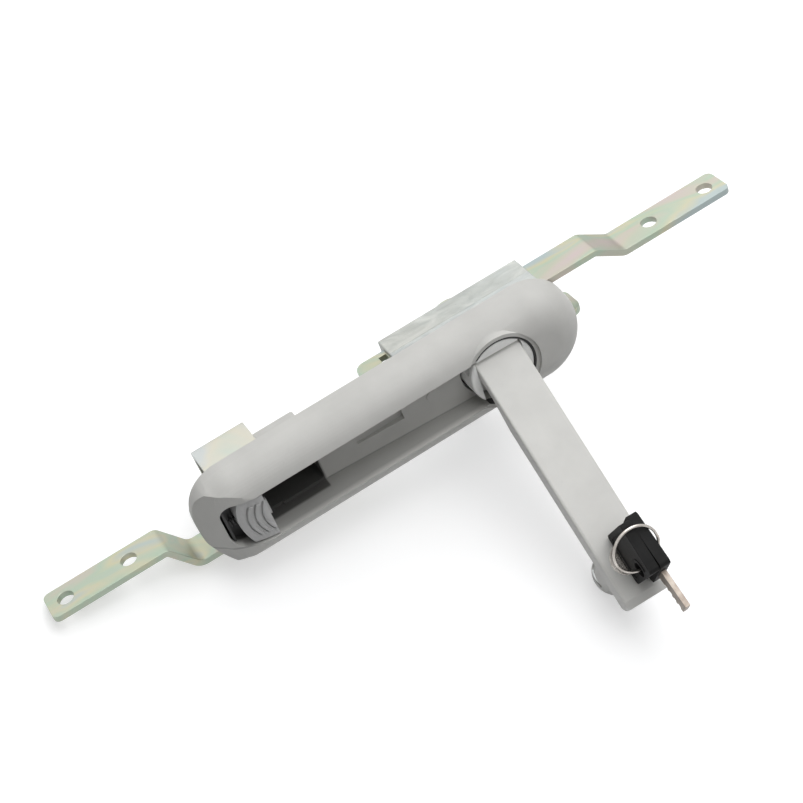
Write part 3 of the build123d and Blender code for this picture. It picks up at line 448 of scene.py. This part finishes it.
ground_steel, start = new_material("Ground bright steel")
turning = start.noise(0.35, 2.0, 0.6, stretch=(0.2, 1, 1))
close_material(
    start,
    {
        "Base Color": turning.blend((0.62, 0.64, 0.64, 1), (0.80, 0.81, 0.80, 1)),
        "Roughness": 0.18 + turning * 0.18,
        "Metallic": 1.0,
        "Normal": start.bump(turning, 0.004),
    },
)
worked_copy("hinge_pin", "rotor_body", ground_steel, edge=0.3)

acetal, start = new_material("Black acetal")
swirl = start.noise(2.0, 3.0, distort=0.4)
close_material(
    start,
    {
        "Base Color": swirl.blend((0.010, 0.010, 0.010, 1), (0.026, 0.026, 0.027, 1)),
        "Roughness": 0.42 + swirl * 0.16,
        "Normal": start.bump(swirl, 0.01),
    },
)
worked_copy("thrust_washer", "housing_body", acetal, edge=0.1)

# ---------------------------------------------------------------------------
# Gear case: two bare zinc castings split half way up, left as they come from the
# die, with flow marks and a dull skin. It holds the pinion between the rods.
# ---------------------------------------------------------------------------
def bare_casting(name, light, dark, turn):
    """Unpainted zinc casting: cloudy, streaked by the metal's flow, slightly pitted."""
    made, start = new_material(name)
    flow = start.noise(9.0, 5.0, 0.6, stretch=(0.5, 1.4, 1.0), distort=1.6, turn=turn)
    clouds = start.noise(22.0, 3.0, turn=turn)
    pits = start.noise(0.8, 3.0, 0.7)
    colour = flow.clamped(0.32, 0.66).blend((*dark, 1), (*light, 1))
    colour = (clouds.clamped(0.4, 0.75) * 0.35).blend(colour, (0.50, 0.56, 0.56, 1))
    colour = (pits.clamped(0.62, 0.8) * 0.4).blend(colour, (0.22, 0.23, 0.23, 1))
    relief = start.bump(pits, 0.03)
    relief = start.bump(flow, 0.05, over=relief)
    close_material(
        start,
        {
            "Base Color": colour,
            "Roughness": 0.36 + flow * 0.22 + pits * 0.1,
            "Metallic": 0.55,
            "Normal": relief,
        },
    )
    return made


base_zinc = bare_casting("Bare zinc base", (0.50, 0.51, 0.49), (0.33, 0.35, 0.35), (0.3, 0.1, 0.7))
cover_zinc = bare_casting("Bare zinc cover", (0.50, 0.505, 0.475), (0.33, 0.34, 0.32), (1.3, 0.8, 0.2))
worked_copy("gear_case_base", "housing_body", base_zinc, edge=0.2)
worked_copy("gear_case_cover", "housing_body", cover_zinc, edge=0.2)
worked_copy("pinion", "rotor_body", cover_zinc, edge=0.12)

# ---------------------------------------------------------------------------
# Rods, clamp bracket, cam and spindle: cold-rolled steel, punched and bent, then
# zinc plated and passivated. The passivation gives pale green, yellow and pink
# tints that drift over the faces.
# ---------------------------------------------------------------------------
def plated(name, stretch, pale=0.0):
    """Zinc plate on rolled steel: drifting tints, fine rolling lines, paler by a share."""
    made, start = new_material(name)
    drift = start.noise(20.0, 3.0, 0.5, stretch=stretch, distort=0.8)
    tint = start.add(
        "ShaderNodeValToRGB",
        {
            "stops": [
                (0.34, (0.46, 0.37, 0.38)),
                (0.43, (0.42, 0.40, 0.33)),
                (0.50, (0.34, 0.42, 0.33)),
                (0.57, (0.45, 0.43, 0.30)),
                (0.66, (0.34, 0.40, 0.40)),
            ]
        },
        {"Fac": drift},
    )
    spread = start.noise(5.0, 4.0, 0.6, stretch=stretch)
    rolled = tuple(share * 0.06 if share < 1 else share for share in stretch)
    lines = start.noise(0.6, 2.0, 0.6, stretch=rolled)
    colour = (spread.clamped(0.35, 0.7) * 0.30).blend(tint, (0.40, 0.41, 0.38, 1))
    colour = start.math("ADD", pale, 0.0).blend(colour, (0.66, 0.64, 0.63, 1))
    relief = start.bump(lines, 0.006)
    relief = start.bump(spread, 0.02, over=relief)
    close_material(
        start,
        {
            "Base Color": colour,
            "Roughness": 0.29 + spread * 0.16 + lines * 0.08,
            "Metallic": 0.80,
            "Normal": relief,
        },
    )
    return made


rod_plate = plated("Zinc plate on the rods", (0.35, 1, 1))
bracket_plate = plated("Zinc plate on the bracket", (0.5, 0.4, 0.3), pale=0.4)
cam_plate = plated("Zinc plate on the cam", (0.45, 0.45, 0.25), pale=0.25)
worked_copy("rod_left", "left_rod_body", rod_plate, edge=0.22)
worked_copy("rod_right", "right_rod_body", rod_plate, edge=0.22)
worked_copy("clamp_bracket", "housing_body", bracket_plate, edge=0.25)
worked_copy("cam", "rotor_body", cam_plate, edge=0.2)
worked_copy("spindle", "rotor_body", cam_plate, edge=0.2)
worked_copy("spindle_pin", "rotor_body", ground_steel, edge=0.15)

# ---------------------------------------------------------------------------
# Screws and washers: cold-headed steel, bright zinc plated with a blue tinge. The
# two M5 screws have washers under their heads; the two M4 screws sit deep in the
# case's counterbores.
# ---------------------------------------------------------------------------
bright_plate, start = new_material("Bright blue zinc plate")
sheen = start.noise(2.6, 3.0, distort=0.6)
scuffs = start.noise(0.5, 3.0, 0.7)
close_material(
    start,
    {
        "Base Color": sheen.clamped(0.3, 0.7).blend((0.50, 0.57, 0.58, 1), (0.74, 0.75, 0.73, 1)),
        "Roughness": 0.14 + sheen * 0.10 + scuffs * 0.14,
        "Metallic": 1.0,
        "Normal": start.bump(scuffs, 0.008),
    },
)

# Painted shade: the faces inside each cross recess get this near-black for the shade that falls in
# them; its bumps and roughness are the struck metal's own.
cross_recess_shade, start = new_material("Painted shade in the screw recesses")
scores_and_shade = start.noise(0.4, 3.0, 0.7)
close_material(
    start,
    {
        "Base Color": scores_and_shade.blend((0.05, 0.055, 0.055, 1), (0.16, 0.17, 0.17, 1)),
        "Roughness": 0.38 + scores_and_shade * 0.2,
        "Metallic": 0.7,
        "Normal": start.bump(scores_and_shade, 0.01),
    },
)


def turned_bar(name, centre, front, back, front_radius, back_radius, sides=72, turn=0.0):
    """A bar or cone square to the door, from its front depth to its back depth."""
    bpy.ops.mesh.primitive_cone_add(
        vertices=sides,
        radius1=front_radius * MM,
        radius2=back_radius * MM,
        depth=(back - front) * MM,
        location=(centre[0] * MM, (front + back) / 2 * MM, centre[1] * MM),
        rotation=(-pi / 2, turn, 0),
    )
    bpy.ops.object.transform_apply(location=True, rotation=True, scale=True)
    bar = bpy.context.object
    bar.name = name
    return bar


def machined(piece, tool, how="DIFFERENCE"):
    """The piece after this tool has cut it; the tool is put away."""
    step = piece.modifiers.new("Machining", "BOOLEAN")
    step.operation = how
    step.solver = "EXACT"
    step.material_mode = "TRANSFER"
    step.object = tool
    pick(piece)
    bpy.ops.object.modifier_apply(modifier=step.name)
    bpy.data.objects.remove(tool)


def cross_punch(centre, back, length, width, depth, turn):
    """The tapered cross-shaped punch that is struck into a screw's head, carrying painted shade for
    the faces it cuts.
    """
    tip_length, tip_width = 0.42, 0.6
    arms = []
    for quarter in (0, 1):
        bpy.ops.mesh.primitive_cube_add(size=1, location=(0, 0, 0))
        bpy.ops.object.mode_set(mode="EDIT")
        bpy.ops.transform.resize(
            value=(length * MM, 2 * depth * MM, width * MM), center_override=(0, 0, 0)
        )
        bpy.ops.mesh.select_all(action="DESELECT")
        bpy.ops.object.mode_set(mode="OBJECT")
        arm = bpy.context.object
        for corner in arm.data.vertices:
            corner.select = corner.co.y < 0
        bpy.ops.object.mode_set(mode="EDIT")
        bpy.ops.transform.resize(value=(tip_length, 1, tip_width), center_override=(0, 0, 0))
        bpy.ops.object.mode_set(mode="OBJECT")
        arm.rotation_euler = (0, turn + quarter * pi / 2, 0)
        arm.location = (centre[0] * MM, back * MM, centre[1] * MM)
        bpy.ops.object.transform_apply(location=True, rotation=True, scale=True)
        arms.append(arm)
    machined(arms[0], arms[1], "UNION")
    # The faces that this punch cuts take its painted shade.
    arms[0].data.materials.append(cross_recess_shade)
    return arms[0]


def join_into(piece, others):
    """The other objects made part of this one."""
    pick(piece)
    for other in others:
        other.select_set(True)
    bpy.ops.object.join()


def copied(piece, name, shift):
    """A copy with its own mesh, moved by this many millimetres."""
    made = bpy.data.objects.new(name, piece.data.copy())
    bpy.context.scene.collection.objects.link(made)
    made.data.transform(Matrix.Translation(Vector(shift) * MM))
    return made


# The hexagon head, from the front face that meets the washer to the back: a punched
# blank with a 30 degree crown, a shallow dish and the cross.
head_height = 3.1
half_corners = 4.62
crown_radius, crown_depth, crown_spread = 3.7, 4.2, 7.3
dish_depth, dish_radius, dish_rim = 0.35, 2.7, 3.25
shank_radius, into_head = 2.4, 0.05
bracket_low, bracket_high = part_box("bracket_screw")
cam_low, cam_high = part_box("cam_screw")
screw_at = ((bracket_low[0] + bracket_high[0]) / 2 / MM, 0.0)
head_back = bracket_high[1] / MM
cam_back = cam_high[1] / MM
blank = (screw_at, head_back - head_height, head_back, half_corners, half_corners)
crown = (screw_at, head_back - crown_depth, head_back, crown_radius + crown_spread, crown_radius)
dish = (screw_at, head_back - dish_depth, head_back + 0.1, dish_radius, dish_rim)
hex_head = turned_bar("hex_head", *blank, sides=6, turn=pi / 6)
hex_head.data.materials.append(bright_plate)
machined(hex_head, turned_bar("crown", *crown), "INTERSECT")
machined(hex_head, turned_bar("dish", *dish))
machined(hex_head, cross_punch(screw_at, head_back, length=4.9, width=1.35, depth=2.0, turn=0.5))
broken_edges(hex_head, 0.1)
cam_head = copied(hex_head, "cam_head", (-screw_at[0], cam_back - head_back, 0))
for node, body, head, low, back, centre in [
    ("bracket_screw", "housing_body", hex_head, bracket_low, head_back, screw_at),
    ("cam_screw", "rotor_body", cam_head, cam_low, cam_back, (0.0, 0.0)),
]:
    shank_back = back - head_height + into_head
    shank = turned_bar(
        node + "_piece", centre, low[1] / MM, shank_back, shank_radius, shank_radius
    )
    broken_edges(shank, 0.5)
    shank.data.materials.append(bright_plate)
    join_into(shank, [head])
    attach(shank, body)
    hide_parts(node)

# The two pan heads: domed, with a deep cross, each on its own shank in the case.
pan_height, pan_radius, pan_dome = 2.4, 3.55, 1.7
solid_pan_radius = 3.6
pan_shank_radius = 2.0
case_low, case_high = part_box("gear_case_screws")
pan_at = (case_high[0] / MM - solid_pan_radius, 0.0)
pan_back = case_high[1] / MM
pan_head = turned_bar(
    "pan_head", pan_at, pan_back - pan_height, pan_back, pan_radius, pan_radius, 64
)
pan_head.data.materials.append(bright_plate)
corners = pan_head.data.vertices
bpy.ops.object.mode_set(mode="EDIT")
bpy.ops.mesh.select_mode(type="EDGE")
bpy.ops.mesh.select_all(action="DESELECT")
bpy.ops.object.mode_set(mode="OBJECT")
for line in pan_head.data.edges:
    line.select = min(corners[end].co.y for end in line.vertices) > (pan_back - 0.01) * MM
bpy.ops.object.mode_set(mode="EDIT")
bpy.ops.mesh.bevel(offset=pan_dome * MM, segments=6, profile=0.55)
bpy.ops.object.mode_set(mode="OBJECT")
machined(pan_head, cross_punch(pan_at, pan_back, length=4.0, width=1.15, depth=1.7, turn=0.25))
broken_edges(pan_head, 0.06, sharp=40.0)
shank_back = pan_back - pan_height + into_head
pan_shank = turned_bar(
    "gear_case_screws_piece",
    pan_at,
    case_low[1] / MM,
    shank_back,
    pan_shank_radius,
    pan_shank_radius,
    48,
)
broken_edges(pan_shank, 0.4)
pan_shank.data.materials.append(bright_plate)
join_into(pan_shank, [pan_head])
second = copied(pan_shank, "second_screw", (-2 * pan_at[0], 0, 0))
join_into(pan_shank, [second])
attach(pan_shank, "housing_body")
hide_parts("gear_case_screws")

for node, body, round_edge in [
    ("bracket_spring_washer", "housing_body", 0.16),
    ("bracket_flat_washer", "housing_body", 0.34),
    ("cam_spring_washer", "rotor_body", 0.16),
    ("cam_flat_washer", "rotor_body", 0.34),
]:
    worked_copy(node, body, bright_plate, edge=round_edge, segments=3)

# ---------------------------------------------------------------------------
# Push button: moulded grey plastic with three curved ridges for the thumb. It
# slides on a black tray, and a small wire spring behind it pushes it back. The spring's
# bore isn't cut here, so its inner end lies in the button and only its outer end shows.
# ---------------------------------------------------------------------------
button_grey, start = new_material("Grey moulded button")
skin = start.noise(0.35, 2.0, 0.6)
shade = start.noise(7.0, 2.0)
close_material(
    start,
    {
        "Base Color": shade.clamped(0.3, 0.7).blend((0.44, 0.44, 0.435, 1), (0.50, 0.50, 0.495, 1)),
        "Roughness": 0.42 + skin * 0.16,
        "Normal": start.bump(skin, 0.012),
    },
)


def block(name, low, high):
    """A rectangular block between two corners, in millimetres."""
    centre = (Vector(low) + Vector(high)) / 2
    bpy.ops.mesh.primitive_cube_add(size=1, location=centre * MM)
    made = bpy.context.object
    made.scale = (Vector(high) - Vector(low)) * MM
    bpy.ops.object.transform_apply(location=True, rotation=True, scale=True)
    made.name = name
    return made


# The button: how far its ends reach along the housing, its front, foot and half width,
# the radius of its rounded end, and the arc that its top falls along.
button_far, button_near = -108.0, -96.8
button_front, button_foot, button_half = -16.0, -6.0, 9.5
round_radius = 21.0
fall_centre = (-93.0, 17.5)
fall_radius = 33.2
# Its ridges: radius and width of each arc, the step from one to the next, where the first
# begins, half their length, how far they stand up and how deep the groove round each is.
ridge_radius, ridge_width, ridge_step = 12.0, 1.0, 2.7
first_ridge = -99.3
ridge_half = 6.6
ridge_rise, groove_depth = 0.55, 0.7
groove_outer, groove_inner, groove_half = 12.6, 11.9, 6.9
nose_low, nose_high = (-97.2, -11.3, -3.5), (-95.6, -9.9, 3.5)


def falling_drum(radius):
    """The round surface that the button's top follows, as a drum across the housing."""
    bpy.ops.mesh.primitive_cylinder_add(
        vertices=360,
        radius=radius * MM,
        depth=30 * MM,
        location=(fall_centre[0] * MM, fall_centre[1] * MM, 0),
    )
    bpy.ops.object.transform_apply(location=True, rotation=True, scale=True)
    return bpy.context.object


def arc_band(name, centre, outer, inner, half_length):
    """A curved band across the button, from above its top to below its grooves."""
    above, below = -17.0, -7.0
    band = turned_bar(name, centre, above, below, outer, outer, 180)
    machined(band, turned_bar("inside", centre, above - 1, below + 1, inner, inner, 180))
    low = (button_far - 0.2, above - 0.5, -half_length)
    high = (button_near - 0.2, below + 0.5, half_length)
    machined(band, block("crosswise", low, high), "INTERSECT")
    return band


button_low = (button_far, button_front, -button_half)
button_high = (button_near, button_foot, button_half)
round_centre = (button_far + round_radius, 0)
button = block("push_button_piece", button_low, button_high)
machined(button, falling_drum(fall_radius), "INTERSECT")
rounded = turned_bar(
    "rounded_end", round_centre, button_front - 1, button_foot + 1, round_radius, round_radius, 200
)
machined(button, rounded, "INTERSECT")
broken_edges(button, 0.9, sharp=40.0, segments=5)
for ridge in range(3):
    curve_at = (first_ridge - ridge * ridge_step + ridge_radius, 0)
    raised = arc_band("ridge", curve_at, ridge_radius, ridge_radius - ridge_width, ridge_half)
    machined(raised, falling_drum(fall_radius + ridge_rise), "INTERSECT")
    groove = arc_band("groove", curve_at, groove_outer, groove_inner, groove_half)
    machined(groove, falling_drum(fall_radius - groove_depth))
    machined(button, groove)
    machined(button, raised, "UNION")
machined(button, block("nose", nose_low, nose_high), "UNION")
broken_edges(button, 0.14, sharp=32.0)
button.data.materials.clear()
button.data.materials.append(button_grey)
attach(button, "button_body")
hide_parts("push_button")
worked_copy("button_base", "housing_body", acetal, edge=0.2)

blackened, start = new_material("Blackened spring wire")
oxide = start.noise(0.8, 3.0)
close_material(
    start,
    {
        "Base Color": oxide.blend((0.015, 0.015, 0.017, 1), (0.05, 0.05, 0.05, 1)),
        "Roughness": 0.4 + oxide * 0.2,
        "Metallic": 0.5,
        "Normal": start.bump(oxide, 0.004),
    },
)
worked_copy("button_spring", "housing_body", blackened, edge=0)

# ---------------------------------------------------------------------------
# Handle: one long die casting, channel-shaped underneath, with the round boss
# for the lock near its tip. Painted like the housing, with a shallower orange peel.
# ---------------------------------------------------------------------------
# Painted light: the handle's tint is a little lighter than the housing's, set to how bright it sits
# under the lamps.
handle_paint_with_painted_light = satin_paint("Satin grey paint on the handle", (0.65, 0.645, 0.62), peel=0.007)
worked_copy("handle", "handle_body", handle_paint_with_painted_light, edge=0.25)

# ---------------------------------------------------------------------------
# Lock: a nickel-plated brass sleeve and plug in the boss, with a steel tongue at
# the plug's end held by a rivet.
# ---------------------------------------------------------------------------
nickel, start = new_material("Nickel plate on brass")
tarnish = start.noise(3.0, 4.0)
close_material(
    start,
    {
        "Base Color": tarnish.clamped(0.3, 0.75).blend((0.62, 0.59, 0.55, 1), (0.38, 0.35, 0.32, 1)),
        "Roughness": 0.18 + tarnish * 0.2,
        "Metallic": 1.0,
        "Normal": start.bump(start.noise(0.4, 2.0), 0.006),
    },
)
worked_copy("lock_sleeve", "handle_body", nickel, edge=0.2)
worked_copy("cylinder_plug", "lock_body", nickel, edge=0.12)
worked_copy("lock_tongue", "lock_body", bright_plate, edge=0.2)
worked_copy("boss_rivet", "handle_body", ground_steel, edge=0.2)

# ---------------------------------------------------------------------------
# Keys and ring: nickel silver blades moulded into flat black plastic heads, both
# hanging on one split ring of sprung wire.
# ---------------------------------------------------------------------------
key_plastic, start = new_material("Black key plastic")
texture = start.noise(0.28, 2.0, 0.65)
haze = start.noise(6.0, 3.0)
close_material(
    start,
    {
        "Base Color": haze.clamped(0.3, 0.7).blend((0.004, 0.004, 0.004, 1), (0.010, 0.010, 0.010, 1)),
        "Roughness": 0.50 + texture * 0.2,
        "Specular IOR Level": 0.14,
        "Normal": start.bump(texture, 0.02),
    },
)
blade_metal, start = new_material("Nickel silver blade")
milled = start.noise(0.5, 2.0, 0.6, stretch=(1, 0.2, 0.2))
worn = start.noise(3.0, 3.0)
close_material(
    start,
    {
        "Base Color": worn.clamped(0.3, 0.7).blend((0.20, 0.165, 0.14, 1), (0.32, 0.285, 0.25, 1)),
        "Roughness": 0.34 + milled * 0.2,
        "Metallic": 0.85,
        "Normal": start.bump(milled, 0.02),
    },
)
worked_copy("key_head", "lock_body", key_plastic, edge=0.3)
worked_copy("spare_key_head", "ring_body", key_plastic, edge=0.3)
worked_copy("key_blade", "lock_body", blade_metal, edge=0.15)
worked_copy("spare_key_blade", "ring_body", blade_metal, edge=0.15)

# The split ring: flattened spring wire wound twice round, its ends ground flat. The wire's
# section is drawn at the ring's radius, and the turns rise side by side.
ring_radius = 8.5
wire_half_width, wire_half_thickness = 0.5, 0.28
turns, rise = 1.96, 0.74 * 0.98
first_height, ring_tilt = -0.35, -100
ring_low, ring_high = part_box("key_ring")
bpy.ops.mesh.primitive_circle_add(
    vertices=14,
    radius=1,
    location=(ring_radius * MM, 0, first_height * MM),
    rotation=(pi / 2, 0, 0),
)
split_ring = bpy.context.object
split_ring.name = "key_ring_piece"
split_ring.scale = (wire_half_width * MM, wire_half_thickness * MM, 1)
bpy.ops.object.transform_apply(location=True, rotation=True, scale=True)
wound = split_ring.modifiers.new("Two turns", "SCREW")
wound.axis = "Z"
wound.angle = 2 * pi * turns
wound.screw_offset = rise * MM
wound.iterations = 1
wound.steps = wound.render_steps = 200
wound.use_merge_vertices = False
bpy.ops.object.modifier_apply(modifier=wound.name)
bpy.ops.object.mode_set(mode="EDIT")
bpy.ops.mesh.select_all(action="DESELECT")
bpy.ops.mesh.select_mode(type="EDGE")
bpy.ops.mesh.select_non_manifold()
bpy.ops.mesh.edge_face_add()
bpy.ops.mesh.select_all(action="SELECT")
bpy.ops.mesh.normals_make_consistent(inside=False)
bpy.ops.object.mode_set(mode="OBJECT")
split_ring.rotation_euler = (radians(ring_tilt), 0, 0)
split_ring.location = (Vector(ring_low) + Vector(ring_high)) / 2
bpy.ops.object.transform_apply(location=True, rotation=True, scale=True)
bpy.ops.object.shade_smooth_by_angle(angle=radians(50))
split_ring.data.materials.append(nickel)
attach(split_ring, "ring_body")
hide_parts("key_ring")
